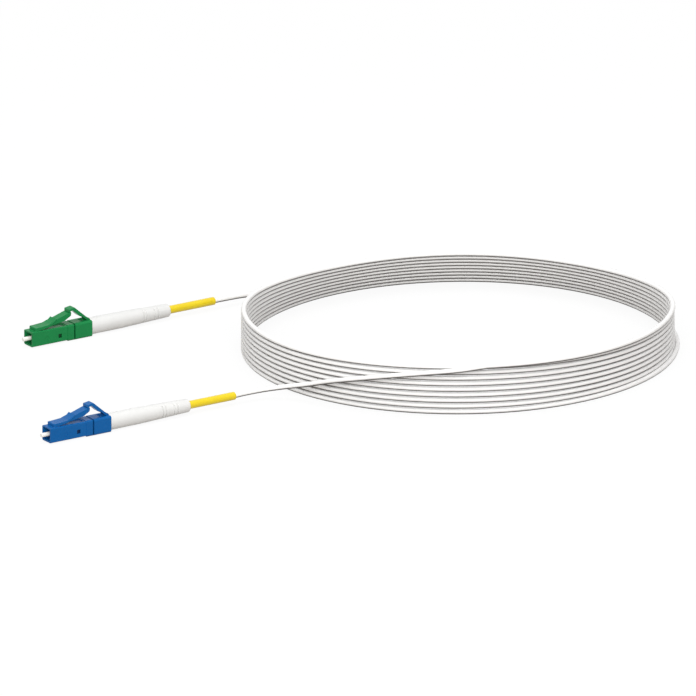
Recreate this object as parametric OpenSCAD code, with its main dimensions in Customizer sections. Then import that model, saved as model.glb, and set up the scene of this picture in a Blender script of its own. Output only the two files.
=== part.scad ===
// LC to LC fiber optic patch cord: a green angled-polish plug, a blue flat-polish plug and a coiled cable.
// Millimetres, +Z up. The origin lies on the floor, midway between the two plugs.
// Each plug is built with +X towards its cable and its ferrule's axis at y = 0, z = 0.

/* [Nose and collar] */
// Width and height of the square nose
nose_w = 4.5; // [4.3:0.1:4.8]
// Length of the nose, from its front face to the collar
nose_len = 12.4; // [11.5:0.1:13.5]
// Length of the collar behind the nose
collar_len = 2.15; // [2:0.05:2.6]
// How far the collar stands out from the nose
collar_step = 0.12; // [0.05:0.01:0.2]
// Radius along the body's long edges
edge_r = 0.35; // [0.2:0.05:0.6]
// Bevel around the front face
front_bevel = 0.2; // [0.1:0.05:0.3]
// Wall around the mouth
mouth_wall = 0.45; // [0.35:0.05:0.55]
// Depth of the mouth
mouth_depth = 2.6; // [2.2:0.1:3]
// Thickness of the wall that the flange stops on
seat_wall = 0.6; // [0.4:0.1:0.8]
// Diameter of the hole in that wall
seat_bore_d = 2.4; // [2.3:0.05:2.5]
// Width of the wall between the backbone's socket and the outside
socket_wall = 0.5; // [0.45:0.01:0.55]
// Length and height of the window that the backbone snaps into
window_len = 1.2; // [0.8:0.1:1.6]
// Distance from the front face to the window's middle
window_x = 9.8; // [9.6:0.1:10]
// Drop of the window's middle below the ferrule's axis
window_drop = 0.4; // [0.2:0.05:0.5]
// Diameter of the round moulding mark on the near side
mark_d = 1.5; // [1.2:0.1:1.8]
// Distance from the front face to the moulding mark's middle
mark_x = 5.2; // [4:0.1:6.5]
// Depth of the moulding mark
mark_depth = 0.08; // [0.04:0.01:0.15]
// Length of the shallow pocket under the latch's arm
pocket_len = 5.4; // [4:0.1:5.6]
// Width of that pocket
pocket_w = 2.9; // [2.6:0.1:3.1]
// Depth of that pocket
pocket_depth = 0.28; // [0.1:0.02:0.3]

/* [Rear clip] */
// Groove between the collar and the rear clip
groove = 0.45; // [0.2:0.05:0.8]
// Length of the rear clip
clip_len = 5.9; // [5:0.1:7]
// Width of the rear clip
clip_w = 4.9; // [4.8:0.1:5.4]
// How far the clip's foot reaches below the nose
clip_foot = 0.3; // [0.2:0.05:0.5]
// How far the clip's top stands above the nose
clip_rise = 0.2; // [0.1:0.05:0.4]
// Radius of the clip's long edges
clip_round = 0.7; // [0.5:0.05:0.8]
// Depth of the scoop in the clip's top, in front of the trigger's root
scoop_depth = 0.45; // [0.2:0.05:0.5]
// Radius of that scoop
scoop_r = 1.4; // [1.2:0.1:2]
// Length of the lip that the foot sends forward under the collar
lip_len = 2.4; // [1:0.1:2.6]

/* [Latch] */
// Width of the latch's front plate and shoulders
latch_w = 3.44; // [3.2:0.02:3.6]
// Width of the latch's arm
arm_w = 2.8; // [2.4:0.1:3]
// Distance from the front face to the latch's root
root_x = 1.5; // [1:0.1:2]
// Length of the root block, up to the latch's bend line
root_len = 1.5; // [1.2:0.1:2]
// Height of the root block and plate above the nose
plate_h = 1.0; // [0.9:0.05:1.2]
// Rise of the front plate's top along its length
plate_rise = 0.22; // [0:0.02:0.3]
// Distance from the bend line to where the shoulders begin to rise
plate_len = 3.0; // [2.5:0.1:3.5]
// Length of the rising shoulders
shoulder_len = 2.8; // [2.4:0.1:3.2]
// Height of the shoulders' tips above the nose
shoulder_h = 2.6; // [2.4:0.1:3.0]
// Distance from the bend line to the arm's tip
arm_len = 11.1; // [10.6:0.1:11.3]
// Height of the arm's tip above the nose
arm_h = 3.8; // [3.7:0.05:4.1]
// Height of the arm's end face
arm_end = 1.2; // [1.0:0.05:1.4]
// Thickness of the arm just before its end, measured straight down
arm_t = 1.7; // [1.4:0.05:1.9]
// Length over which the arm's underside rises to its end
arm_taper = 2.0; // [1.5:0.1:2.5]
// Slope of the arm
arm_slope = 17; // [15:0.5:18]
// How far the latch swings down when pressed, in degrees
latch_press = 6; // [4:0.5:7]

/* [Trigger] */
// Width of the trigger
trigger_w = 2.6; // [2.4:0.1:3]
// Thickness of the trigger's lever
trigger_t = 1.05; // [0.9:0.05:1.2]
// Thickness of the thin web at the trigger's root
web_t = 0.65; // [0.5:0.05:0.8]
// Share of the lever that is web
web_part = 0.45; // [0.3:0.05:0.5]
// Distance from the clip's rear face to the web's bend line
web_x = 0.8; // [0.7:0.05:1]
// Lean of the trigger above the horizontal
trigger_lean = 41; // [38:0.5:44]
// Length of the trigger from its bend line to its peak
trigger_len = 6.4; // [6.2:0.1:6.8]
// Length of the trigger's beak, over the arm's tip
beak_len = 1.35; // [1.2:0.05:1.6]
// Height of the beak's front face
beak_t = 0.75; // [0.6:0.05:0.9]
// Gap between the beak and the arm
beak_gap = 0.1; // [0.06:0.02:0.2]
// How far the trigger swings down when pressed, in degrees
trigger_press = 10; // [6:0.5:10]

/* [Ferrule and spring] */
// Ferrule diameter
ferrule_d = 1.249; // [1.2:0.001:1.3]
// Ferrule length
ferrule_len = 6.5; // [6.2:0.1:7]
// How far the ferrule stands out of the mouth
ferrule_out = 1.9; // [1.6:0.1:2.1]
// Bevel around the ferrule's tip
ferrule_bevel = 0.12; // [0.05:0.01:0.2]
// How much thinner the ferrule's back end is, where its flange is pressed on
ferrule_taper = 0.05; // [0.02:0.01:0.1]
// Angle of the green plug's polished end
apc_angle = 8; // [0:1:9]
// Length of the flange's hexagonal collar
flange_len = 1.4; // [1.2:0.1:1.6]
// Width of the collar across its flats
flange_af = 2.6; // [2.4:0.05:2.62]
// Outer diameter of the tube that guides the spring
tail_d = 1.9; // [1.7:0.05:2]
// Length of that tube
tail_len = 2.6; // [2:0.1:3]
// Length of the spring as fitted
spring_len = 4.6; // [4.4:0.1:5]
// Spring wire diameter
wire_d = 0.3; // [0.2:0.02:0.34]
// Number of turns of the spring
spring_turns = 6; // [5:1:7]

/* [Cable entry] */
// Diameter of the backbone's barb
barb_d = 3.0; // [2.8:0.1:3.2]
// Length of the barb behind the clip
barb_len = 5.2; // [4:0.1:6]
// Thickness of the folded yarn
yarn_t = 0.15; // [0.1:0.01:0.2]
// Wall of the crimp sleeve
crimp_wall = 0.2; // [0.15:0.01:0.3]
// Length of the crimp sleeve's neck
neck_len = 2.6; // [2:0.1:3.5]
// Length of the boot
boot_len = 28.1; // [24:0.1:30]
// Diameter of the boot at the clip
boot_d = 5.05; // [4.8:0.05:5.1]
// Diameter of the boot at its tail
boot_tail_d = 3.8; // [3.4:0.1:4.2]
// Share of the boot's length over which it is nearly straight
boot_straight = 0.4; // [0.3:0.05:0.5]
// Width of the boot's slots
slot_w = 0.35; // [0.2:0.05:0.5]
// Wall left under the boot's slots
slot_floor = 0.3; // [0.15:0.05:0.35]
// Length of yellow jacket behind the boot
jacket_out = 16.3; // [12:0.1:20]
// Diameter of the yellow jacket
jacket_d = 2.4; // [2.2:0.05:2.6]

/* [Cable] */
// Diameter of the white cable
cable_d = 1.5; // [1.4:0.05:1.6]
// Diameter of the buffered fibre
buffer_d = 0.9; // [0.8:0.05:0.95]
// Mean radius of the coil
coil_r = 62.9; // [62.5:0.1:63.3]
// Thickness of the coil's wall, seen from above
coil_wall = 2.8; // [2.6:0.1:3.2]
// Height of the coil's low side
coil_low = 11.7; // [11.3:0.1:12.1]
// Height of the coil's high side
coil_high = 16.0; // [15.6:0.1:16.4]

/* [Layout] */
// Distance between the two plugs' axes
plug_gap = 78.8; // [78.4:0.1:79.2]
// How far the green plug lies behind the blue one
plug_stagger = 44.4; // [44:0.1:44.8]
// Running clearance between a moving piece and its seat
clear = 0.03; // [0.02:0.01:0.05]

/* [Hidden] */
$fn = 48;
eps = 0.01;
half = nose_w / 2;
body_len = nose_len + collar_len;
seat_x = mouth_depth + seat_wall;
flange_x = seat_x + clear;
ferrule_back = ferrule_len - ferrule_out;
glass_r = 0.0625;
socket_w = nose_w - 2 * socket_wall;
chamber_r = flange_af / 2 / cos(30) + 0.05;
backbone_x = seat_x + flange_len + spring_len;
clip_x = body_len + groove;
clip_end = clip_x + clip_len;
clip_top = half + clip_rise;
foot_z = -half - clip_foot;
axis_h = -foot_z;
barb_end = clip_end + barb_len;
crimp_x = clip_end + 0.3;
neck_x = barb_end + 0.7;
neck_end = neck_x + neck_len;
boot_end = clip_end + boot_len;
jacket_x = barb_end + 0.3;
plug_end = boot_end + jacket_out;
// Buffered fibre inside the cable's end, and the room behind it that the ferrule's travel takes
buffer_run = 6;
buffer_slack = 1.5;
buffer_end = jacket_x + buffer_run;
crimp_r = barb_d / 2 + yarn_t + crimp_wall;
neck_r = jacket_d / 2 + crimp_wall;
// The latch's and the trigger's bend lines, as [x, z]
knuckle_r = 0.45;
web_r = web_t / 2 + 0.07;
latch_axis = [root_x + root_len, half + plate_h / 2];
trigger_axis = [clip_end - web_x, clip_top + 0.2];
// Middle of each plug lies this far from the origin, on either side
plug_mid = (plug_end - ferrule_out) / 2;
green_at = [plug_stagger / 2 - plug_mid, plug_gap / 2, axis_h];
blue_at = [-plug_stagger / 2 - plug_mid, -plug_gap / 2, axis_h];
coil_at = [95.4, -31.1, 0];
// Direction, seen from above, in which the coil's turns fan open
fan_dir = -123.5;
// Routes of the two free stretches of cable
GREEN_ROUTE = [
    [55.8, 39.4, 2.55], [59, 39.4, 2.55], [66, 39.4, 2.4], [74, 38.9, 1.9],
    [82, 37.8, 1.2], [90, 36.2, 0.85], [98, 34.2, 0.75], [106.6, 32.4, 0.75]
];
BLUE_ROUTE = [
    [11.4, -39.4, 2.55], [15, -39.4, 2.5], [21, -40.4, 2.7], [26, -43.4, 3.3], [30, -49, 4.8],
    [33.4, -56.8, 7.2], [37.6, -64.8, 9.8], [43.2, -72.4, 12.4], [50.4, -79.6, 14.4],
    [59, -85.8, 15.3], [68, -89.8, 15.2]
];
PIECES = [
    "front_housing", "latch", "rear_clip", "trigger", "ferrule", "ferrule_flange", "spring",
    "backbone", "aramid_yarn", "crimp_sleeve", "boot", "jacket_sleeve", "fibre", "cable_end"
];

// ---- Shared shapes ----

// A rounded rectangle centred on the origin
module rounded_rect(w, h, r) {
    square([w - 2 * r, h], center = true);
    square([w, h - 2 * r], center = true);
    for (x = [-1, 1], y = [-1, 1])
        translate([x * (w / 2 - r), y * (h / 2 - r)])
            circle(r);
}

// A section drawn across the plug, as [y, z], run along +X from one x to another
module along(from, to) {
    translate([from, 0, 0])
        rotate([90, 0, 90])
            linear_extrude(to - from)
                children();
}

// A side profile drawn as [x, z], given a width across the plug
module across(w) {
    rotate([90, 0, 0])
        linear_extrude(w, center = true)
            children();
}

// A profile of [x, radius] points turned about the plug's axis
module turned(points) {
    rotate([0, 90, 0])
        rotate_extrude()
            polygon([for (p = points) [p[1], p[0]]]);
}

// A round rod or bore along the plug's axis
module rod(r, from, to) {
    translate([from, 0, 0])
        rotate([0, 90, 0])
            cylinder(r = r, h = to - from);
}

// ---- Coloured body ----

module nose_block() {
    along(front_bevel, nose_len + eps)
        rounded_rect(nose_w, nose_w, edge_r);
    intersection() {
        along(0, 2 * front_bevel)
            rounded_rect(nose_w, nose_w, edge_r);
        for (turn = [0, 90])
            rotate([turn, 0, 0])
                across(nose_w + 1)
                    polygon([
                        [0, front_bevel - half], [front_bevel, -half], [2 * front_bevel, -half],
                        [2 * front_bevel, half], [front_bevel, half], [0, half - front_bevel]
                    ]);
    }
    along(nose_len, body_len)
        rounded_rect(nose_w + 2 * collar_step, nose_w + 2 * collar_step, edge_r + collar_step);
}

// The block that the latch springs from, hollowed to hold its round root
module latch_root() {
    lip = latch_axis[0] - knuckle_r / 2;
    across(latch_w)
        difference() {
            polygon([
                [root_x, half - eps], [root_x, half + plate_h - 0.15], [root_x + 0.15, half + plate_h],
                [lip, half + plate_h], [lip, half - eps]
            ]);
            translate(latch_axis)
                circle(knuckle_r + clear);
        }
}

module front_housing(tint) {
    color(tint)
        difference() {
            union() {
                nose_block();
                latch_root();
            }
            along(-eps, mouth_depth)
                rounded_rect(nose_w - 2 * mouth_wall, nose_w - 2 * mouth_wall, 0.25);
            rod(seat_bore_d / 2, mouth_depth - eps, seat_x + eps);
            rod(chamber_r, seat_x, backbone_x + eps);
            along(backbone_x, body_len + eps)
                rounded_rect(socket_w, socket_w, 0.2);
            translate([window_x, 0, -window_drop])
                cube([window_len, nose_w + 1, window_len], center = true);
            translate([nose_len - 0.4 - pocket_len, -pocket_w / 2, half - pocket_depth])
                cube([pocket_len, pocket_w, 1]);
            translate([mark_x, mark_depth - half, -window_drop])
                rotate([90, 0, 0])
                    cylinder(d = mark_d, h = 1);
        }
}

module rear_clip(tint) {
    rear_lip = trigger_axis[0] + web_r / 2;
    color(tint)
        difference() {
            union() {
                along(clip_x, clip_end)
                    translate([0, (clip_top + foot_z) / 2])
                        rounded_rect(clip_w, clip_top - foot_z, clip_round);
                // The foot's lip under the collar
                translate([clip_x - lip_len, -clip_w / 2 + 0.5, foot_z])
                    cube([lip_len + 1, clip_w - 1, clip_foot - collar_step - clear]);
                // The block that the trigger springs from
                across(trigger_w)
                    polygon([
                        [rear_lip, clip_top - eps], [rear_lip, trigger_axis[1] + web_r],
                        [rear_lip + 0.15, trigger_axis[1] + web_r], [clip_end, clip_top + 0.1],
                        [clip_end, clip_top - eps]
                    ]);
            }
            along(clip_x - eps, clip_end + eps)
                rounded_rect(socket_w, socket_w, 0.2);
            translate([trigger_axis[0], 0, trigger_axis[1]])
                rotate([90, 0, 0])
                    cylinder(r = web_r + clear, h = trigger_w + 2 * clear, center = true);
            // The scoop gives a fingernail room under the trigger
            across(trigger_w)
                translate([rear_lip - scoop_r, clip_top + scoop_r - scoop_depth])
                    circle(scoop_r);
        }
}

// ---- Latch and trigger ----

module latch(tint) {
    x0 = latch_axis[0];
    lift = x0 + plate_len;
    tip = lift + shoulder_len;
    end_x = x0 + arm_len;
    arm_top = half + arm_h;
    color(tint) {
        // The wide front plate and its two shoulders
        across(latch_w) {
            translate(latch_axis)
                circle(knuckle_r);
            polygon([
                [x0 - knuckle_r / 2 + clear, half + plate_h], [lift, half + plate_h + plate_rise],
                [lift + shoulder_len * 0.35, half + plate_h + plate_rise + 0.36],
                [lift + shoulder_len * 0.7, half + shoulder_h - 0.75],
                [tip, half + shoulder_h], [tip + 0.1, half + shoulder_h - 0.4],
                [lift + shoulder_len * 0.5, half + plate_h + 0.2],
                [lift + 0.3, half + plate_h / 2],
                [x0, latch_axis[1] - knuckle_r], latch_axis
            ]);
        }
        // The narrow arm
        across(arm_w)
            polygon([
                [lift - 0.3, half + plate_h / 2], [lift + 0.3, half + plate_h / 2],
                [end_x - arm_taper, arm_top - arm_taper * tan(arm_slope) - arm_t],
                [end_x, arm_top - arm_end], [end_x + 0.12, arm_top - 0.3], [end_x, arm_top],
                [lift + 1.2, arm_top - (arm_len - plate_len - 1.2) * tan(arm_slope)],
                [lift - 0.3, half + plate_h]
            ]);
    }
}

module trigger(tint) {
    // Points on the lever, by distance along it and height above its middle line
    function on_lever(s, h) = trigger_axis
        + s * [-cos(trigger_lean), sin(trigger_lean)] + h * [sin(trigger_lean), cos(trigger_lean)];
    web_end = trigger_len * web_part;
    top_h = web_t / 2;
    // The beak lies over the arm's tip, along the arm's slope
    arm_tip = [latch_axis[0] + arm_len, half + arm_h];
    under = arm_tip + [0.7, beak_gap + 0.7 * tan(arm_slope)];
    front = under - beak_len * [1, tan(arm_slope)];
    color(tint)
        across(trigger_w) {
            translate(trigger_axis)
                circle(web_r);
            polygon([
                on_lever(0, -web_t / 2), on_lever(0, top_h), on_lever(trigger_len, top_h),
                front + [0.15, beak_t + 0.1], front + [0, beak_t], front, under,
                on_lever(trigger_len - 0.9, top_h - trigger_t), on_lever(web_end, top_h - trigger_t),
                on_lever(web_end - 0.4, -web_t / 2)
            ]);
        }
}

// ---- Ferrule and spring ----

// The space in front of a polished end, tilted by its angle
module polish(angle) {
    translate([-ferrule_out, 0, 0])
        rotate([0, angle, 0])
            translate([-1.5 + eps, 0, 0])
                cube([3, 3, 3], center = true);
}

module ferrule(angle) {
    color(CERAMIC)
        difference() {
            turned([
                [-ferrule_out, 0], [-ferrule_out, ferrule_d / 2 - ferrule_bevel],
                [-ferrule_out + 2 * ferrule_bevel, ferrule_d / 2], [flange_x, ferrule_d / 2],
                [ferrule_back, ferrule_d / 2 - ferrule_taper], [ferrule_back, 0]
            ]);
            rod(glass_r + 0.001, -ferrule_out - 1, ferrule_back + 1);
            polish(angle);
        }
}

module ferrule_flange() {
    tail_end = flange_x + flange_len + tail_len;
    color(STEEL)
        difference() {
            union() {
                translate([flange_x, 0, 0])
                    rotate([0, 90, 0])
                        cylinder(d = flange_af / cos(30), h = flange_len - clear, $fn = 6);
                rod(tail_d / 2, flange_x, tail_end);
            }
            turned([
                [flange_x - 1, 0], [flange_x - 1, ferrule_d / 2], [flange_x, ferrule_d / 2],
                [ferrule_back, ferrule_d / 2 - ferrule_taper], [ferrule_back, 0]
            ]);
            rod(buffer_d / 2 + clear, ferrule_back - eps, tail_end + 1);
        }
}

module spring() {
    sides = 8;
    steps = 16;
    coil = tail_d / 2 + wire_d / 2 + 0.1;
    from = seat_x + flange_len + wire_d / 2;
    run = spring_len - wire_d;
    // The end turns lie closed, so the advance eases in and out
    function advance(t) = t * t * (3 - 2 * t);
    rings = [
        for (i = [0 : spring_turns * steps])
            let (t = i / (spring_turns * steps), a = 360 * spring_turns * t)
                [for (j = [0 : sides - 1])
                    let (b = 360 * j / sides, r = coil + wire_d / 2 * cos(b))
                        [from + run * advance(t) + wire_d / 2 * sin(b), r * cos(a), r * sin(a)]]
    ];
    color(STEEL)
        swept(rings);
}

// A closed solid through a list of rings, each with the same number of points
module swept(rings) {
    n = len(rings[0]);
    last = len(rings) - 1;
    points = [for (ring = rings) each ring];
    faces = [
        [for (j = [0 : n - 1]) j],
        [for (j = [n - 1 : -1 : 0]) last * n + j],
        for (i = [0 : last - 1], j = [0 : n - 1])
            let (k = (j + 1) % n)
                [i * n + j, (i + 1) * n + j, (i + 1) * n + k, i * n + k]
    ];
    polyhedron(points, faces);
}

// ---- Backbone, crimp and boot ----

module backbone(tint) {
    fit = socket_w - 2 * clear;
    stop_w = socket_w + 0.2;
    color(tint)
        difference() {
            union() {
                along(backbone_x, clip_end - 1.2)
                    rounded_rect(fit, fit, 0.2);
                // The collar that keeps the body and the clip apart
                along(body_len, clip_x)
                    rounded_rect(stop_w, stop_w, edge_r);
                rod(barb_d / 2, clip_end - 1.3, barb_end);
                // Snaps that stand in the body's windows
                translate([window_x, 0, -window_drop])
                    cube([window_len - 0.1, nose_w - 0.8, window_len - 0.1], center = true);
            }
            rod(buffer_d / 2 + 0.2, backbone_x - 1, barb_end + 1);
        }
}

module aramid_yarn() {
    color(YARN)
        turned([
            [crimp_x + 0.2, barb_d / 2], [crimp_x + 0.2, barb_d / 2 + yarn_t],
            [barb_end - 0.2, barb_d / 2 + yarn_t], [barb_end - 0.2, barb_d / 2]
        ]);
}

module crimp_sleeve() {
    inner = barb_d / 2 + yarn_t;
    color(STEEL)
        turned([
            [crimp_x, inner], [crimp_x, crimp_r], [barb_end, crimp_r], [neck_x, neck_r], [neck_end, neck_r],
            [neck_end, jacket_d / 2], [neck_x, jacket_d / 2], [barb_end, inner]
        ]);
}

module boot() {
    grip = crimp_r + clear;
    tunnel = jacket_d / 2 + clear;
    // Slots in pairs, as shares of the boot's length
    slots = [0.648, 0.687, 0.789, 0.836];
    color(WHITE)
        difference() {
            turned([
                [clip_end, grip], [clip_end, boot_d / 2], [clip_end + boot_len * boot_straight, boot_d / 2 - 0.05],
                [boot_end - 0.3, boot_tail_d / 2 + 0.05], [boot_end, boot_tail_d / 2 - 0.2],
                [boot_end, tunnel], [neck_end + 0.6, tunnel], [neck_end + 0.3, grip]
            ]);
            for (s = slots, side = [-1, 1])
                intersection() {
                    difference() {
                        along(clip_end + s * boot_len, clip_end + s * boot_len + slot_w)
                            circle(boot_d);
                        rod(tunnel + slot_floor, clip_end, boot_end);
                    }
                    translate([clip_end, side * boot_d * 0.55, 0])
                        rotate([0, 90, 0])
                            cylinder(d = boot_d * 0.95, h = boot_len);
                }
        }
}

module jacket_sleeve() {
    outer = jacket_d / 2;
    inner = cable_d / 2 + clear;
    color(YELLOW)
        turned([
            [jacket_x, inner], [jacket_x, outer],
            for (a = [0 : 15 : 90]) [plug_end - 0.35 + 0.3 * sin(a) + 0.05, outer - 0.3 + 0.3 * cos(a)],
            [plug_end, inner]
        ]);
}

module fibre(angle) {
    color(GLASS)
        difference() {
            turned([
                [-ferrule_out, 0], [-ferrule_out, glass_r], [ferrule_back, glass_r],
                [ferrule_back, buffer_d / 2], [buffer_end, buffer_d / 2], [buffer_end, 0]
            ]);
            polish(angle);
        }
}

module cable_end() {
    color(WHITE)
        difference() {
            rod(cable_d / 2, jacket_x - 0.2, plug_end);
            rod(buffer_d / 2 + 0.05, jacket_x - 1, buffer_end + buffer_slack);
        }
}

// ---- Cable ----

function unit(v) = v / norm(v);

// A point on a smooth curve through four neighbouring points
function blend(a, b, c, d, t) =
    0.5 * (2 * b + (c - a) * t + (2 * a - 5 * b + 4 * c - d) * t * t + (3 * b - a - 3 * c + d) * t * t * t);

function smooth(route, parts) = [
    for (i = [0 : len(route) - 2], p = [0 : parts - 1])
        blend(route[max(i - 1, 0)], route[i], route[i + 1], route[min(i + 2, len(route) - 1)], p / parts),
    route[len(route) - 1]
];

module lead(route) {
    sides = 8;
    path = smooth(route, 3);
    last = len(path) - 1;
    rings = [
        for (i = [0 : last])
            let (
                ahead = i == 0 ? [1, 0, 0] : unit(path[min(i + 1, last)] - path[i - 1]),
                side = unit(cross([0, 0, 1], ahead)),
                up = cross(ahead, side)
            )
            [for (j = [0 : sides - 1])
                path[i] + cable_d / 2 * (cos(360 * j / sides) * side + sin(360 * j / sides) * up)]
    ];
    color(WHITE)
        swept(rings);
}

module cable_coil() {
    outer = coil_r + coil_wall / 2;
    lean = atan2(coil_high - coil_low, 2 * outer);
    // The block that slopes the ring's top is larger than the ring by this much
    spare = 10;
    color(WHITE)
        translate(coil_at)
            difference() {
                rotate_extrude()
                    translate([coil_r - coil_wall / 2, 0])
                        square([coil_wall, coil_high]);
                rotate([0, 0, fan_dir])
                    translate([-outer, 0, coil_low])
                        rotate([0, -lean, 0])
                            translate([-spare, -outer - spare, 0])
                                cube([2 * (outer + spare), 2 * (outer + spare), 2 * spare]);
            }
}

// ---- Colours and places ----

module green() {
    translate(green_at)
        children();
}

module blue() {
    translate(blue_at)
        children();
}

GREEN = [0.1, 0.5, 0.27];
BLUE = [0.08, 0.36, 0.64];
STEEL = [0.72, 0.73, 0.75];
CERAMIC = [0.95, 0.95, 0.93];
GLASS = [0.9, 0.93, 0.95];
WHITE = [0.93, 0.93, 0.92];
YELLOW = [0.93, 0.83, 0.1];
YARN = [0.9, 0.78, 0.25];

green() front_housing(GREEN);  // green_front_housing
green() latch(GREEN);  // green_latch
green() rear_clip(GREEN);  // green_rear_clip
green() trigger(GREEN);  // green_trigger
green() ferrule(apc_angle);  // green_ferrule
green() ferrule_flange();  // green_ferrule_flange
green() spring();  // green_spring
green() backbone(GREEN);  // green_backbone
green() aramid_yarn();  // green_aramid_yarn
green() crimp_sleeve();  // green_crimp_sleeve
green() boot();  // green_boot
green() jacket_sleeve();  // green_jacket_sleeve
green() fibre(apc_angle);  // green_fibre
green() cable_end();  // green_cable_end
blue() front_housing(BLUE);  // blue_front_housing
blue() latch(BLUE);  // blue_latch
blue() rear_clip(BLUE);  // blue_rear_clip
blue() trigger(BLUE);  // blue_trigger
blue() ferrule(0);  // blue_ferrule
blue() ferrule_flange();  // blue_ferrule_flange
blue() spring();  // blue_spring
blue() backbone(BLUE);  // blue_backbone
blue() aramid_yarn();  // blue_aramid_yarn
blue() crimp_sleeve();  // blue_crimp_sleeve
blue() boot();  // blue_boot
blue() jacket_sleeve();  // blue_jacket_sleeve
blue() fibre(0);  // blue_fibre
blue() cable_end();  // blue_cable_end
cable_coil();
lead(GREEN_ROUTE);  // green_lead
lead(BLUE_ROUTE);  // blue_lead
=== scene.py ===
import math

import bmesh
import bpy
from mathutils import Matrix, Vector


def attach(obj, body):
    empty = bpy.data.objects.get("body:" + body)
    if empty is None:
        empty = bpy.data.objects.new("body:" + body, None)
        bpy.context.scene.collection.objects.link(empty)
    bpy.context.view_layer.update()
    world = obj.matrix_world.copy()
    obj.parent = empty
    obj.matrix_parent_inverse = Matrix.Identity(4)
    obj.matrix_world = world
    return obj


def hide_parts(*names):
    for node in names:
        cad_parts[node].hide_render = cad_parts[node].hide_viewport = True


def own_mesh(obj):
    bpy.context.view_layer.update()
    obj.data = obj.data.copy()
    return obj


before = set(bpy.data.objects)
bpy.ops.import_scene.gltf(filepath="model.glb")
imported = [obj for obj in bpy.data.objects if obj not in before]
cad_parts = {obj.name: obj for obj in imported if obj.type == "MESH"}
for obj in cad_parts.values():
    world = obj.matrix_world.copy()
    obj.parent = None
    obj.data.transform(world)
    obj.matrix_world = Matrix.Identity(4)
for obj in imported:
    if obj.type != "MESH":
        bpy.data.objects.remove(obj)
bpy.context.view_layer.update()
mm = 0.001
print("frame loaded:", len(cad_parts), "nodes")


# ---- Node trees as expressions ----


class Wire:  # a socket that takes part in sums
    def __init__(self, maker, socket):
        self.maker, self.socket = maker, socket

    def sum(self, operation, first, second):
        return self.maker.node("ShaderNodeMath", {"operation": operation}, [first, second])

    def __add__(self, other):
        return self.sum("ADD", self, other)

    def __radd__(self, other):
        return self.sum("ADD", other, self)

    def __sub__(self, other):
        return self.sum("SUBTRACT", self, other)

    def __rsub__(self, other):
        return self.sum("SUBTRACT", other, self)

    def __mul__(self, other):
        return self.sum("MULTIPLY", self, other)

    def __rmul__(self, other):
        return self.sum("MULTIPLY", other, self)

    def __truediv__(self, other):
        return self.sum("DIVIDE", self, other)

    def output(self, name):  # another output of the same node
        return Wire(self.maker, self.socket.node.outputs[name])


class NodeMaker:
    def __init__(self, tree):
        self.tree = tree

    def node(self, kind, settings=None, inputs=None, output=0):
        made = self.tree.nodes.new(kind)
        for name, value in (settings or {}).items():
            if name == "stops":
                self.setStops(made.color_ramp.elements, value)
            else:
                setattr(made, name, value)
        pairs = inputs.items() if isinstance(inputs, dict) else enumerate(inputs or [])
        for key, value in pairs:
            if isinstance(value, Wire):
                self.tree.links.new(value.socket, made.inputs[key])
            else:
                made.inputs[key].default_value = value
        return Wire(self, made.outputs[output]) if made.outputs else None

    def setStops(self, elements, stops):
        while len(elements) < len(stops):
            elements.new(0.5)
        for element, (place, colour) in zip(elements, stops):
            element.position, element.color = place, colour

    def mixColours(self, share, first, second):
        return self.node("ShaderNodeMix", {"data_type": "RGBA"}, {0: share, 6: first, 7: second}, 2)

    def noise(self, place, scale, detail=2.0, roughness=0.5):
        return self.node(
            "ShaderNodeTexNoise", {},
            {"Vector": place, "Scale": scale, "Detail": detail, "Roughness": roughness},
        )


def linear(red, green, blue):  # a colour as it looks on a screen, for a socket
    return [*(c / 12.92 if c <= 0.04045 else ((c + 0.055) / 1.055) ** 2.4 for c in (red, green, blue)), 1.0]


def newFinish(name):
    finish = bpy.data.materials.new(name)
    finish.use_nodes = True
    finish.node_tree.nodes.clear()
    return finish, NodeMaker(finish.node_tree)


def principled(maker, **sockets):
    surface = maker.node(
        "ShaderNodeBsdfPrincipled", {}, {name.replace("_", " "): value for name, value in sockets.items()}
    )
    maker.node("ShaderNodeOutputMaterial", {}, {"Surface": surface})


# ---- Camera ----

cameraView = {
    "target": (0.0682, -0.0136, 0.0),  # what the picture's middle looks at
    "azimuth": -33.5,
    "elevation": 18.0,
    "width": 0.2047,  # what the picture spans at the target
    "lens": 1200.0,  # a long lens, so that near and far turns look alike
    "sensor": 36.0,
}


def addCamera(view):
    azimuth, elevation = math.radians(view["azimuth"]), math.radians(view["elevation"])
    back = Vector(
        (
            math.sin(azimuth) * math.cos(elevation),
            -math.cos(azimuth) * math.cos(elevation),
            math.sin(elevation),
        )
    )
    data = bpy.data.cameras.new("camera")
    data.lens, data.sensor_width = view["lens"], view["sensor"]
    camera = bpy.data.objects.new("camera", data)
    distance = view["width"] * view["lens"] / view["sensor"]
    camera.location = Vector(view["target"]) + back * distance
    camera.rotation_mode = "QUATERNION"
    camera.rotation_quaternion = (-back).to_track_quat("-Z", "Y")
    data.clip_start, data.clip_end = distance * 0.05, distance * 5
    bpy.context.scene.collection.objects.link(camera)
    bpy.context.scene.camera = camera


addCamera(cameraView)
print("camera in place")


# ---- White cable ----

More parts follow.
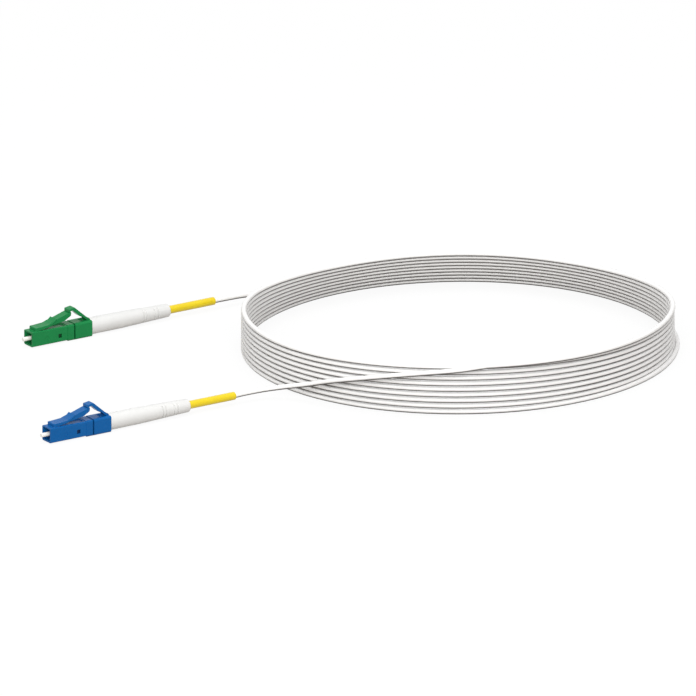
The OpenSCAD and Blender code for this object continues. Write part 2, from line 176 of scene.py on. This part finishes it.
cable = {
    "diameter": 1.5 * mm,
    "sides": 24,
    "routeParts": 4,  # pieces of curve between two points of a route
    "shadedBelow": (0.12, 0.5),  # how far down the skin faces, as a sine, where the painted shade starts and is full
    "coilCentre": (95.4 * mm, -31.1 * mm),
    "coilRadius": 63.1 * mm,
    "oval": 0.013,  # how far the coil is from round
    "ovalAt": math.radians(11.5),
    "fan": math.radians(-123.5),  # direction in which the turns fan open
    "start": 80.0,  # where the first turn begins, in degrees
    "turns": 9.54,
    "stepsPerTurn": 90,
    "pitch": 1.5 * mm,
    "frontGap": 0.21 * mm,  # air between the turns where they fan open
    "frontPower": 6,  # how narrowly they do, about that direction
    "backRamp": (0.45, 1),  # share of the way round to the back where what follows grows
    "backSink": 0.22 * mm,  # how much closer they lie in height at the back
    "lean": 0.9 * mm,  # how far each turn lies inside the one below it, at the back
    "floorTurn": 1.02,  # where the second turn begins to climb on the first
    "firstAside": 1.5 * mm,  # how far outside the others the first turn starts
    "firstRamp": (0.25, 0.6),  # the turns over which it comes in
    "lastAside": 1.6 * mm,  # how far outside the others the last one ends
    "lastRamp": (-0.3, 0.14),  # where it goes out and sinks, in turns from the end
}
# the free stretches, from each plug; the coil's own end takes the place of the last point
greenRoute = [
    (0.0558, 0.0394, 0.00255), (0.059, 0.0394, 0.00255), (0.066, 0.0394, 0.0024),
    (0.074, 0.0389, 0.0019), (0.082, 0.0378, 0.0012), (0.090, 0.0362, 0.00085),
    (0.098, 0.0342, 0.00075), (0.1066, 0.0324, 0.00075),
]
blueRoute = [
    (0.0114, -0.0394, 0.00255), (0.015, -0.0394, 0.00265), (0.021, -0.0404, 0.00295),
    (0.026, -0.0434, 0.0037), (0.030, -0.049, 0.0052), (0.0334, -0.0568, 0.00773),
    (0.0376, -0.0648, 0.00993), (0.0432, -0.0724, 0.01178), (0.0504, -0.0796, 0.01327),
    (0.0590, -0.0858, 0.01432), (0.0672, -0.0889, 0.0149),
]


def ease(value, low, high):
    t = min(max((value - low) / (high - low), 0.0), 1.0)
    return t * t * (3 - 2 * t)


def coilHeight(n, front):  # height of the cable's middle after n turns
    opened = cable["frontGap"] * front ** cable["frontPower"]
    pitch = cable["pitch"] + opened - cable["backSink"] * ease(1 - front, *cable["backRamp"])
    return cable["diameter"] / 2 + pitch * max(0.0, n - cable["floorTurn"] + front / 2)


def coilPoints():
    points = []
    steps = round(cable["turns"] * cable["stepsPerTurn"])
    for step in range(steps + 1):
        n = step / cable["stepsPerTurn"]
        angle = math.radians(cable["start"] - 360 * n)
        front = (1 + math.cos(angle - cable["fan"])) / 2
        away = ease(n, *(cable["turns"] + ramp for ramp in cable["lastRamp"])) * math.pi / 2
        back = ease(1 - front, *cable["backRamp"])
        lean = cable["lean"] * back * max(0.0, n - cable["floorTurn"]) * math.cos(away)
        aside = cable["firstAside"] * (1 - ease(n, *cable["firstRamp"])) + cable["lastAside"] * math.sin(away)
        ovalRadius = cable["coilRadius"] * (1 + cable["oval"] * math.cos(2 * (angle - cable["ovalAt"])))
        radius = ovalRadius + aside - lean
        height = coilHeight(n, front) * math.cos(away) + coilHeight(n - 1, front) * (1 - math.cos(away))
        points.append(
            Vector(
                (
                    cable["coilCentre"][0] + radius * math.cos(angle),
                    cable["coilCentre"][1] + radius * math.sin(angle),
                    height,
                )
            )
        )
    return points


def smoothRoute(points, parts, after):  # a curve through the points, towards the one after them
    line = []
    run = [points[0], *points, after]
    for a, b, c, d in zip(run, run[1:], run[2:], run[3:]):
        for part in range(parts):
            t = part / parts
            square = (2 * a - 5 * b + 4 * c - d) * t**2
            line.append(0.5 * (2 * b + (c - a) * t + square + (3 * (b - c) - a + d) * t**3))
    return line


def lineLength(points):
    return sum((b - a).length for a, b in zip(points, points[1:]))


def tubeMesh(name, line, radius, sides):  # a round tube along a line, its ends closed
    mesh = bpy.data.meshes.new(name)
    work = bmesh.new()
    below = work.verts.layers.float.new("below")  # 1 where the skin faces the floor, and so takes painted shade
    rings = []
    side = Vector((0, 0, 1))
    for index, place in enumerate(line):
        along = (line[min(index + 1, len(line) - 1)] - line[max(index - 1, 0)]).normalized()
        side = (side - along * side.dot(along)).normalized()
        up = along.cross(side)
        ring = []
        for corner in range(sides):
            turn = 2 * math.pi * corner / sides
            out = side * math.cos(turn) + up * math.sin(turn)
            ring.append(work.verts.new(place + radius * out))
            ring[-1][below] = ease(-out.z, *cable["shadedBelow"])
        rings.append(ring)
    for ring, following in zip(rings, rings[1:]):
        for corner in range(sides):
            after = (corner + 1) % sides
            work.faces.new((ring[corner], ring[after], following[after], following[corner])).smooth = True
    work.faces.new(rings[0][::-1])
    work.faces.new(rings[-1])
    bmesh.ops.recalc_face_normals(work, faces=work.faces)
    work.to_mesh(mesh)
    work.free()
    return mesh


def addCable(finish):
    coil = coilPoints()
    green = smoothRoute([Vector(p) for p in greenRoute[:-1]] + [coil[0]], cable["routeParts"], coil[2])
    blue = smoothRoute([Vector(p) for p in blueRoute[:-1]] + [coil[-1]], cable["routeParts"], coil[-3])
    line = green + coil + blue[::-1]
    mesh = tubeMesh("fiberCable", line, cable["diameter"] / 2, cable["sides"])
    mesh.materials.append(finish)
    made = bpy.data.objects.new("fiberCable", mesh)
    bpy.context.scene.collection.objects.link(made)
    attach(made, "cord")
    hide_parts("cable_coil", "green_lead", "blue_lead")
    round(lineLength(line), 2)
    print("cable made:", round(lineLength(line), 3), "m")


# ---- Finishes ----


def objectPlace(maker):
    return maker.node("ShaderNodeTexCoord", output="Object")


def grainBump(maker, height, depth, strength=0.5, under=None):
    inputs = {"Strength": strength, "Distance": depth, "Height": height}
    if under is not None:
        inputs["Normal"] = under
    return maker.node("ShaderNodeBump", {}, inputs)


mouldedLook = {
    "mottleScale": 420.0,
    "grainScale": 7000.0,
    "roughness": 0.3,
    "roughnessSpread": 0.14,
    "grainDepth": 0.003 * mm,
    "gloss": 0.1,
    "coat": 0.05,
}


coatLook = {"spread": 0.08, "roughness": 0.2}
# painted shade on the cable's underside: how much of it covers the skin, how that varies with the grain, and
# how much rougher the skin gets there
undersideShadeLook = {"cover": 0.86, "coverSpread": 0.2, "rougher": 0.3}


def mouldedPlastic(name, colour, deep, look=mouldedLook):
    finish, maker = newFinish(name)
    place = objectPlace(maker)
    mottle = maker.noise(place, look["mottleScale"], 3.0)
    grain = maker.noise(place, look["grainScale"], 2.0)
    principled(
        maker,
        Base_Color=maker.mixColours(mottle, linear(*deep), linear(*colour)),
        Roughness=look["roughness"] + (mottle - 0.5) * look["roughnessSpread"],
        Specular_IOR_Level=look["gloss"],
        Coat_Weight=look["coat"] + (grain - 0.5) * coatLook["spread"],
        Coat_Roughness=coatLook["roughness"],
        Normal=grainBump(maker, grain, look["grainDepth"]),
    )
    return finish


def cableSkin(name, colour, deep, shadeColour, look):  # white, with painted shade on its underside
    finish, maker = newFinish(name)
    place = objectPlace(maker)
    mottle = maker.noise(place, look["mottleScale"], 3.0)
    grain = maker.noise(place, look["grainScale"], 2.0)
    clean = maker.mixColours(mottle, linear(*deep), linear(*colour))
    below = maker.node("ShaderNodeAttribute", {"attribute_name": "below"}, output="Fac")
    # the underside is painted darker, as shade, broken up by the grain
    shadedBelow = below * (undersideShadeLook["cover"] + grain * undersideShadeLook["coverSpread"])
    principled(
        maker,
        Base_Color=maker.mixColours(shadedBelow, clean, linear(*shadeColour)),
        Roughness=look["roughness"] + (mottle - 0.5) * look["roughnessSpread"] + shadedBelow * undersideShadeLook["rougher"],
        Specular_IOR_Level=look["gloss"],
        Coat_Weight=look["coat"] * (1 - shadedBelow),
        Coat_Roughness=coatLook["roughness"],
        Normal=grainBump(maker, grain, look["grainDepth"]),
    )
    return finish


softVinyl = {
    "mottleScale": 260.0,
    "grainScale": 5200.0,
    "roughness": 0.46,
    "roughnessSpread": 0.18,
    "grainDepth": 0.005 * mm,
    "gloss": 0.35,
    "coat": 0.04,
}
glossyJacket = {
    "mottleScale": 300.0,
    "grainScale": 2600.0,
    "roughness": 0.36,
    "roughnessSpread": 0.2,
    "grainDepth": 0.012 * mm,
    "gloss": 0.4,
    "coat": 0.12,
}


def zirconia():
    finish, maker = newFinish("zirconia")
    place = objectPlace(maker)
    cloud = maker.noise(place, 900.0, 4.0)
    rings = maker.node(
        "ShaderNodeTexWave", {"wave_type": "BANDS", "bands_direction": "X"},
        {"Vector": place, "Scale": 5200.0, "Distortion": 2.0, "Detail": 1.0},
    )
    principled(
        maker,
        Base_Color=maker.mixColours(cloud, linear(0.93, 0.92, 0.88), linear(0.99, 0.985, 0.97)),
        Roughness=0.12 + cloud * 0.08,
        Coat_Weight=0.4,
        Normal=grainBump(maker, rings, 0.0008 * mm, 0.3),
    )
    return finish


def platedMetal(name, colour, roughness, turnScale):
    finish, maker = newFinish(name)
    place = objectPlace(maker)
    turning = maker.node(
        "ShaderNodeTexWave", {"wave_type": "BANDS", "bands_direction": "X"},
        {"Vector": place, "Scale": turnScale, "Distortion": 3.0, "Detail": 2.0},
    )
    cloud = maker.noise(place, 700.0, 3.0)
    darker = [c * 0.72 for c in linear(*colour)[:3]] + [1.0]
    principled(
        maker,
        Base_Color=maker.mixColours(cloud, darker, linear(*colour)),
        Metallic=1.0,
        Roughness=roughness + cloud * 0.16,
        Normal=grainBump(maker, turning, 0.002 * mm, 0.4),
    )
    return finish


def aramidFibre():
    finish, maker = newFinish("aramidFibre")
    place = objectPlace(maker)
    strands = maker.noise(place, 3200.0, 4.0, 0.7)
    principled(
        maker,
        Base_Color=maker.mixColours(strands, linear(0.78, 0.6, 0.12), linear(0.97, 0.86, 0.35)),
        Roughness=0.55 + strands * 0.25,
        Normal=grainBump(maker, strands, 0.02 * mm, 0.6),
    )
    return finish


def bufferCoat():
    finish, maker = newFinish("bufferCoat")
    place = objectPlace(maker)
    cloud = maker.noise(place, 1500.0, 2.0)
    principled(
        maker,
        Base_Color=maker.mixColours(cloud, linear(0.86, 0.9, 0.92), linear(0.96, 0.98, 0.99)),
        Roughness=0.22 + cloud * 0.1,
        Coat_Weight=0.3,
        Normal=grainBump(maker, cloud, 0.002 * mm, 0.3),
    )
    return finish


finishes = {
    "green": mouldedPlastic("greenPlastic", (0.11, 0.53, 0.29), (0.09, 0.49, 0.26)),
    "blue": mouldedPlastic("bluePlastic", (0.06, 0.38, 0.65), (0.045, 0.35, 0.61)),
    # darker copies of the green and blue plastics: painted shade for the backbone where it shows in the gaps
    # of the plug
    "greenShadedCopy": mouldedPlastic("greenCorePlastic", (0.04, 0.25, 0.13), (0.03, 0.2, 0.1)),
    "blueShadedCopy": mouldedPlastic("blueCorePlastic", (0.02, 0.15, 0.33), (0.01, 0.12, 0.27)),
    "boot": mouldedPlastic("bootElastomer", (0.9, 0.9, 0.893), (0.87, 0.87, 0.863), softVinyl),
    "jacket": mouldedPlastic("yellowJacket", (0.92, 0.83, 0.1), (0.9, 0.78, 0.06), glossyJacket),
    # the cable's last colour is the painted shade on its underside
    "cable": cableSkin(
        "whiteCable", (0.99, 0.988, 0.985), (0.97, 0.965, 0.96), (0.28, 0.26, 0.245), softVinyl
    ),
    "ceramic": zirconia(),
    "nickel": platedMetal("nickelPlate", (0.8, 0.79, 0.76), 0.22, 2200.0),
    "wire": platedMetal("springWire", (0.66, 0.67, 0.69), 0.3, 6000.0),
    "aramid": aramidFibre(),
    "buffer": bufferCoat(),
}
print("finishes made:", len(finishes))


addCable(finishes["cable"])


# ---- Where the plugs lie ----

plugPlaces = {
    "green": Vector((-9.5, 39.4, 2.55)) * mm,
    "blue": Vector((-53.9, -39.4, 2.55)) * mm,
}


# ---- Pieces shown with the frame's own shape ----

softEdge = {
    "sharp": math.radians(28),  # edges that bend more than this are eased
    "flat": math.radians(1),
    "segments": 2,
    "shortest": 0.16 * mm,
    "weld": 0.0002 * mm,
    "crease": math.radians(30),  # edges that stay sharp in the shading
    "pivotReach": 0.75 * mm,  # no edge this close to a pivot is eased, so that its seam stays fine
}
pivots = {"latch": Vector((3.0, 0.0, 2.75)) * mm, "trigger": Vector((20.1, 0.0, 2.65)) * mm}
# piece: its body, finish, material slot and how wide its edges are eased
shaped = {
    "front_housing": ("cord", "tint", "tint", 0.09 * mm),
    "rear_clip": ("cord", "tint", "tint", 0.1 * mm),
    "latch": ("latch", "tint", "tint", 0.07 * mm),
    "trigger": ("trigger", "tint", "tint", 0.08 * mm),
    # the backbone takes the darker copy of its plug's plastic, as painted shade
    "backbone": ("cord", "core", "tint", 0.04 * mm),
    "ferrule": ("ferrule", "ceramic", "zirconia", 0.0),
    "ferrule_flange": ("ferrule", "nickel", "plated_metal", 0.05 * mm),
    "crimp_sleeve": ("cord", "nickel", "plated_metal", 0.0),
    "jacket_sleeve": ("cord", "jacket", "yellow_jacket", 0.0),
    "fibre": ("ferrule", "buffer", "glass_fibre", 0.0),
    "cable_end": ("cord", "cable", "white_cable", 0.0),
}


def nearPivot(edge, place):
    for pivot in pivots.values():
        away = [vert.co - place - pivot for vert in edge.verts]
        if all(math.hypot(gap.x, gap.z) < softEdge["pivotReach"] for gap in away):
            return True
    return False


def easedMesh(node, width, place):
    work = bmesh.new()
    work.from_mesh(node.data)
    work.transform(node.matrix_world)
    bmesh.ops.remove_doubles(work, verts=work.verts, dist=softEdge["weld"])
    bmesh.ops.dissolve_limit(work, angle_limit=softEdge["flat"], verts=work.verts, edges=work.edges)
    bmesh.ops.recalc_face_normals(work, faces=work.faces)
    if width:
        sharp = [
            edge for edge in work.edges
            if edge.calc_face_angle(0.0) > softEdge["sharp"]
            and edge.calc_length() > softEdge["shortest"]
            and not nearPivot(edge, place)
        ]
        bmesh.ops.bevel(
            work, geom=sharp, offset=width, offset_type="OFFSET", segments=softEdge["segments"],
            profile=0.5, affect="EDGES", clamp_overlap=False,
        )
    for face in work.faces:
        face.smooth = True
    mesh = bpy.data.meshes.new(node.name + "_eased")
    work.to_mesh(mesh)
    work.free()
    mesh.set_sharp_from_angle(angle=softEdge["crease"])
    holder = bpy.data.objects.new("easing", mesh)
    bpy.context.scene.collection.objects.link(holder)
    even = holder.modifiers.new("even", "WEIGHTED_NORMAL")  # keeps the broad faces' shading flat
    even.keep_sharp = True
    eased = bpy.data.meshes.new_from_object(holder.evaluated_get(bpy.context.evaluated_depsgraph_get()))
    bpy.data.objects.remove(holder)
    return eased


def settle(made, body, finish, slotName, *nodes):  # gives a finished piece its place in the object
    made.data.materials.clear()
    made.data.materials.append(finishes[finish])
    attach(made, body)
    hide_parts(*nodes)


for plug, place in plugPlaces.items():
    for piece, (body, finish, slotName, width) in shaped.items():
        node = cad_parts[f"{plug}_{piece}"]
        made = bpy.data.objects.new(f"{plug}{piece.title().replace('_', '')}", easedMesh(node, width, place))
        bpy.context.scene.collection.objects.link(made)
        settle(
            made,
            "cord" if body == "cord" else f"{plug}_{body}",
            {"tint": plug, "core": f"{plug}ShadedCopy"}.get(finish, finish),
            f"{plug}_plastic" if slotName == "tint" else slotName,
            node.name,
        )
    print(plug, "pieces eased")


# ---- Pieces grown by geometry trees ----


class ShapeMaker(NodeMaker):  # a geometry tree with named inputs
    def __init__(self, name, **inputs):
        super().__init__(bpy.data.node_groups.new(name, "GeometryNodeTree"))
        self.inputs = []
        for label, value in inputs.items():
            kind = "NodeSocketInt" if isinstance(value, int) else "NodeSocketFloat"
            socket = self.tree.interface.new_socket(label, in_out="INPUT", socket_type=kind)
            self.inputs.append((socket.identifier, value))
        self.tree.interface.new_socket("Geometry", in_out="OUTPUT", socket_type="NodeSocketGeometry")
        self.entry = self.tree.nodes.new("NodeGroupInput")

    def given(self, *labels):
        return [Wire(self, self.entry.outputs[label]) for label in labels]

    def maths(self, operation, *values, clamp=False):
        return self.node("ShaderNodeMath", {"operation": operation, "use_clamp": clamp}, list(values))

    def share(self, value, low, high):  # 0 at low, 1 at high
        return self.node("ShaderNodeMapRange", {}, {"Value": value, "From Min": low, "From Max": high})

    def moved(self, geometry, x, y, z):
        place = self.node("ShaderNodeCombineXYZ", {}, [x, y, z])
        return self.node("GeometryNodeSetPosition", {}, {"Geometry": geometry, "Position": place})

    def close(self, geometry, finish):
        smooth = self.node("GeometryNodeSetShadeSmooth", {}, {"Geometry": geometry})
        real = self.node("GeometryNodeRealizeInstances", {}, {"Geometry": smooth})
        painted = self.node("GeometryNodeSetMaterial", {}, {"Geometry": real, "Material": finish})
        self.node("NodeGroupOutput", {}, [painted])


def grown(name, maker, place):  # the plain mesh that a geometry tree makes, moved to its plug
    holder = bpy.data.objects.new(name, bpy.data.meshes.new(name))
    bpy.context.scene.collection.objects.link(holder)
    modifier = holder.modifiers.new("shape", "NODES")
    modifier.node_group = maker.tree
    for identifier, value in maker.inputs:
        modifier[identifier] = value
    evaluated = holder.evaluated_get(bpy.context.evaluated_depsgraph_get())
    mesh = bpy.data.meshes.new_from_object(evaluated)
    holder.modifiers.remove(modifier)
    holder.data = mesh
    mesh.transform(Matrix.Translation(place))
    return holder


spring = {
    "start": 4.75 * mm,  # where the wire's middle starts, behind the plug's front face
    "run": 4.3 * mm,
    "radius": 1.2 * mm,
    "wire": 0.3 * mm,
    "turns": 6.0,
    "steps": 288,
    "sides": 12,
    "stroke": 1.2 * mm,
    "back": 9.2 * mm,  # the end that stays where it is
}


def springShape():
    maker = ShapeMaker(
        "springShape", Start=spring["start"], Run=spring["run"], Radius=spring["radius"],
        Wire=spring["wire"] / 2, Turns=spring["turns"], Steps=spring["steps"], Sides=spring["sides"],
    )
    start, run, radius, wire, turns, steps, sides = maker.given(
        "Start", "Run", "Radius", "Wire", "Turns", "Steps", "Sides"
    )
    line = maker.node("GeometryNodeCurvePrimitiveLine", {}, {"End": (1.0, 0.0, 0.0)})
    wound = maker.node("GeometryNodeResampleCurve", {}, {"Curve": line, "Count": steps})
    along = maker.node("GeometryNodeSplineParameter")
    advance = along * along * (3 - 2 * along)  # the end turns lie closed
    angle = along * turns * (2 * math.pi)
    helix = maker.moved(
        wound, start + run * advance,
        radius * maker.maths("COSINE", angle), radius * maker.maths("SINE", angle),
    )
    section = maker.node("GeometryNodeCurvePrimitiveCircle", {}, {"Resolution": sides, "Radius": wire})
    tube = maker.node(
        "GeometryNodeCurveToMesh", {}, {"Curve": helix, "Profile Curve": section, "Fill Caps": True}
    )
    maker.close(tube, finishes["wire"])
    return maker


boot = {
    "start": 20.9 * mm,
    "length": 28.1 * mm,
    "frontRadius": 2.525 * mm,
    "tailRadius": 1.95 * mm,
    "straight": 0.4,  # share of its length that hardly tapers
    "rounding": 0.45 * mm,
    "tunnelRadius": 1.23 * mm,
    "tunnel": 6.0 * mm,
    "slots": (0.648, 0.687, 0.789, 0.836),  # as shares of its length
    "slotWidth": 0.35 * mm,
    "slotDepth": 0.5 * mm,
    "slotLip": 0.04 * mm,
    "slotFade": 0.07,
    "waist": 0.05 * mm,  # what it loses over its straight share
    "outside": 0.9,  # shares of the sheet's length that make the outside and the end face
    "endFace": 0.93,
    "weld": 0.001 * mm,
    "slotReach": 0.52,  # cosine of the angle that a slot reaches to, either side of level
    "rows": 440,
    "sides": 72,
}


def bootShape():
    maker = ShapeMaker(
        "bootShape", Start=boot["start"], Length=boot["length"], Front=boot["frontRadius"],
        Tail=boot["tailRadius"], Rounding=boot["rounding"], Tunnel=boot["tunnelRadius"],
        Depth=boot["slotDepth"], Rows=boot["rows"], Sides=boot["sides"],
    )
    start, length, front, tail, rounding, tunnel, depth, rows, sides = maker.given(
        "Start", "Length", "Front", "Tail", "Rounding", "Tunnel", "Depth", "Rows", "Sides"
    )
    sheet = maker.node(
        "GeometryNodeMeshGrid", {},
        {"Size X": 1.0, "Size Y": 1.0, "Vertices X": rows, "Vertices Y": sides + 1},
    )
    spot = maker.node("ShaderNodeSeparateXYZ", {}, [maker.node("GeometryNodeInputPosition")])
    down, around = spot + 0.5, spot.output("Y") * (2 * math.pi)
    outside = maker.share(down, 0.0, boot["outside"])  # along the outside, then round the end into the tunnel
    face = maker.share(down, boot["outside"], boot["endFace"])
    inside = maker.share(down, boot["endFace"], 1.0)
    reach = length * outside
    corner = maker.share(reach, length - rounding, length)
    fall = 1 - maker.maths("SQRT", 1 - corner * corner)
    waist = front - boot["waist"] * maker.share(outside, 0.0, boot["straight"])
    skin = waist + (tail - waist) * maker.share(outside, boot["straight"], 1.0) - rounding * fall
    level = maker.maths("ABSOLUTE", maker.maths("COSINE", around))
    window = maker.share(level, boot["slotReach"], boot["slotReach"] + boot["slotFade"])
    cut = 0.0
    for share in boot["slots"]:
        half = boot["slotWidth"] / 2
        away = maker.maths("ABSOLUTE", reach - length * share - half)
        cut = maker.share(away, half + boot["slotLip"], half - boot["slotLip"]) + cut
    skin = skin - cut * window * depth
    radius = skin + (tunnel - skin) * face
    tube = maker.moved(
        sheet, start + reach - boot["tunnel"] * inside,
        radius * maker.maths("COSINE", around), radius * maker.maths("SINE", around),
    )
    closed = maker.node("GeometryNodeMergeByDistance", {}, {"Geometry": tube, "Distance": boot["weld"]})
    maker.close(closed, finishes["boot"])
    return maker


yarn = {
    "start": 21.4 * mm,
    "length": 4.5 * mm,
    "radius": 1.575 * mm,
    "strand": 0.07 * mm,
    "strands": 66,
    "rings": 12,
    "sides": 6,
    "wave": 5.0,  # how far along a sine the sway runs, in radians
    "sway": 0.1,  # turn of a strand about the barb along its length, in radians
}


def yarnShape():
    maker = ShapeMaker(
        "yarnShape", Start=yarn["start"], Length=yarn["length"], Radius=yarn["radius"],
        Strand=yarn["strand"], Strands=yarn["strands"],
    )
    start, length, radius, strand, strands = maker.given("Start", "Length", "Radius", "Strand", "Strands")
    line = maker.node("GeometryNodeCurvePrimitiveLine", {}, {"End": (1.0, 0.0, 0.0)})
    divided = maker.node("GeometryNodeResampleCurve", {}, {"Curve": line, "Count": yarn["rings"]})
    along = maker.node("GeometryNodeSplineParameter")
    turn = yarn["sway"] * maker.maths("SINE", along * yarn["wave"])
    swayed = maker.moved(
        divided, start + length * along,
        radius * maker.maths("COSINE", turn), radius * maker.maths("SINE", turn),
    )
    section = maker.node(
        "GeometryNodeCurvePrimitiveCircle", {}, {"Resolution": yarn["sides"], "Radius": strand}
    )
    fibre = maker.node(
        "GeometryNodeCurveToMesh", {}, {"Curve": swayed, "Profile Curve": section, "Fill Caps": True}
    )
    points = maker.node("GeometryNodePoints", {}, {"Count": strands})
    turned = maker.node("GeometryNodeInputIndex") * (2 * math.pi) / strands
    spin = maker.node("ShaderNodeCombineXYZ", {}, [turned, 0.0, 0.0])
    ring = maker.node(
        "GeometryNodeInstanceOnPoints", {}, {"Points": points, "Instance": fibre, "Rotation": spin}
    )
    maker.close(ring, finishes["aramid"])
    return maker


trees = {"spring": springShape(), "boot": bootShape(), "yarn": yarnShape()}
for plug, place in plugPlaces.items():
    coiled = grown(f"{plug}Spring", trees["spring"], place)
    settle(coiled, "cord", "wire", "spring_wire", f"{plug}_spring")
    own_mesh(coiled)
    settle(grown(f"{plug}Boot", trees["boot"], place), "cord", "boot", "boot_plastic", f"{plug}_boot")
    settle(grown(f"{plug}Yarn", trees["yarn"], place), "cord", "aramid", "aramid", f"{plug}_aramid_yarn")
print("springs, boots and yarn grown")


# ---- Floor, world and lamps ----

studio = {
    "floorSize": 12.0,
    "floorBounce": (0.66, 0.64, 0.62),
    "shadowShare": 0.1,  # how much of the floor's own shading shows
    "worldLight": 0.55,
    "lamps": [  # place, size in metres and power in watts
        ((-0.73, -1.1, 0.7), 0.9, 13.5),
        ((0.0, 0.0, 1.5), 1.0, 8.0),
    ],
}


def whiteForCamera(maker):  # 1 where the camera sees the surface, itself or in a reflection
    path = maker.node("ShaderNodeLightPath", output="Is Camera Ray")
    seen = path + path.output("Is Glossy Ray") + path.output("Is Transmission Ray")
    return maker.node("ShaderNodeMath", {"operation": "MINIMUM"}, [seen, 1.0])


def addFloor():
    finish, maker = newFinish("floorPaper")
    seen = whiteForCamera(maker)
    bounce = maker.node("ShaderNodeBsdfDiffuse", {}, {"Color": linear(*studio["floorBounce"])})
    shaded = maker.node("ShaderNodeBsdfDiffuse", {}, {"Color": (1.0, 1.0, 1.0, 1.0)})
    white = maker.node("ShaderNodeEmission", {}, {"Color": (1.0, 1.0, 1.0, 1.0), "Strength": 1.0})
    paper = maker.node("ShaderNodeMixShader", {}, [studio["shadowShare"], white, shaded])
    maker.node(
        "ShaderNodeOutputMaterial", {},
        {"Surface": maker.node("ShaderNodeMixShader", {}, [seen, bounce, paper])},
    )
    mesh = bpy.data.meshes.new("floor")
    half = studio["floorSize"] / 2
    mesh.from_pydata(
        [(-half, -half, 0), (half, -half, 0), (half, half, 0), (-half, half, 0)], [], [(0, 1, 2, 3)]
    )
    mesh.materials.append(finish)
    floor = bpy.data.objects.new("floor", mesh)
    bpy.context.scene.collection.objects.link(floor)


def addWorld():
    world = bpy.data.worlds.new("studioWorld")
    bpy.context.scene.world = world
    world.use_nodes = True
    world.node_tree.nodes.clear()
    maker = NodeMaker(world.node_tree)
    seen = whiteForCamera(maker)
    strength = studio["worldLight"] + (1 - studio["worldLight"]) * seen
    maker.node(
        "ShaderNodeOutputWorld", {},
        {"Surface": maker.node("ShaderNodeBackground", {}, {"Color": (1, 1, 1, 1), "Strength": strength})},
    )


def addLamps():
    middle = Vector(cameraView["target"])
    for number, (place, size, power) in enumerate(studio["lamps"]):
        data = bpy.data.lights.new(f"lamp{number}", "AREA")
        data.size, data.energy = size, power
        lamp = bpy.data.objects.new(f"lamp{number}", data)
        lamp.location = middle + Vector(place)
        lamp.rotation_mode = "QUATERNION"
        lamp.rotation_quaternion = (-Vector(place)).to_track_quat("-Z", "Y")
        bpy.context.scene.collection.objects.link(lamp)


addFloor()
addWorld()
addLamps()
bpy.context.scene.view_settings.view_transform = "Standard"
print("studio set")
